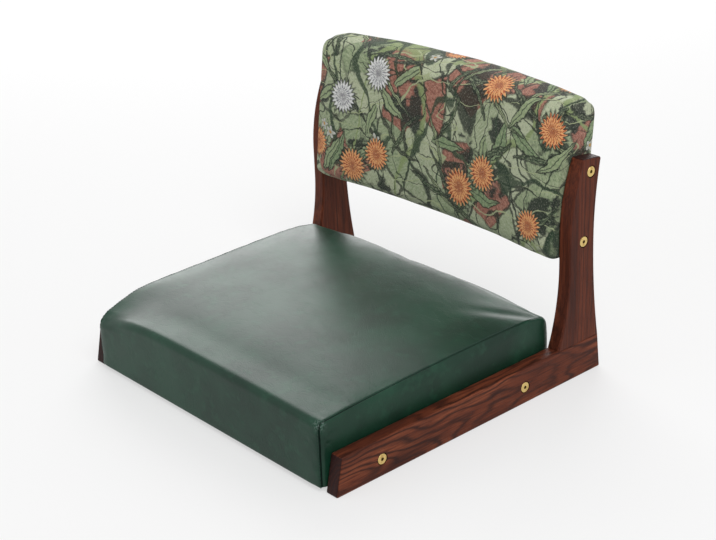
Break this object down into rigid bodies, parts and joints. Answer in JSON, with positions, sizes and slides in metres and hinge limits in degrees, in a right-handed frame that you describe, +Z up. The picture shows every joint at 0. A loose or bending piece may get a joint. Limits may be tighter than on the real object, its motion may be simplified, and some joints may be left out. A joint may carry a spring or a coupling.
{
  "type": "legless floor chair",
  "caption": "Legless floor chair: wooden L-shaped side frames carry a boxed leatherette seat cushion near the floor and a curved, padded floral backrest, all held by brass-coloured bolts",
  "frame": {"origin": "centre of the chair's footprint box, on the floor", "axes": "+Z up; the sitter faces -Y; +X is the right-hand side seen from the front"},
  "size_m": [0.5, 0.4918, 0.3733],
  "materials": {
    "frame_wood": "dark reddish-brown stained open-grain wood, satin varnish",
    "raw_wood": "pale unvarnished softwood and plywood, hidden",
    "brass_plate": "brass-coloured plating, polished",
    "zinc_steel": "bright zinc-plated steel, hidden",
    "green_leather": "dark green leatherette with a fine grain and a soft gloss",
    "foam": "open-cell upholstery foam, hidden",
    "black_cloth": "thin black non-woven cloth",
    "floral_fabric": "woven jacquard with a floral pattern in light green, dark green, rust and orange"
  },
  "bodies": {
    "root": {"left_rail": "frame_wood", "right_rail": "frame_wood", "left_upright": "frame_wood", "right_upright": "frame_wood", "left_frame_dowels": "raw_wood", "right_frame_dowels": "raw_wood", "left_seat_bolts": "brass_plate", "right_seat_bolts": "brass_plate", "left_back_bolts": "brass_plate", "right_back_bolts": "brass_plate", "left_seat_inserts": "zinc_steel", "right_seat_inserts": "zinc_steel", "left_back_inserts": "zinc_steel", "right_back_inserts": "zinc_steel", "seat_front_batten": "raw_wood", "seat_rear_batten": "raw_wood", "seat_left_batten": "raw_wood", "seat_right_batten": "raw_wood", "seat_plywood": "raw_wood", "seat_board_screws": "zinc_steel", "seat_cover_staples": "zinc_steel", "seat_dust_cover": "black_cloth", "seat_foam": "foam", "seat_top_cover": "green_leather", "seat_left_side_cover": "green_leather", "seat_right_side_cover": "green_leather", "seat_rear_cover": "green_leather", "back_board": "raw_wood", "back_left_stile": "raw_wood", "back_right_stile": "raw_wood", "back_top_rail": "raw_wood", "back_bottom_rail": "raw_wood", "back_board_screws": "zinc_steel", "back_front_foam": "foam", "back_rear_foam": "foam", "back_front_cover": "floral_fabric", "back_rear_cover": "floral_fabric"}
  },
  "joints": []
}
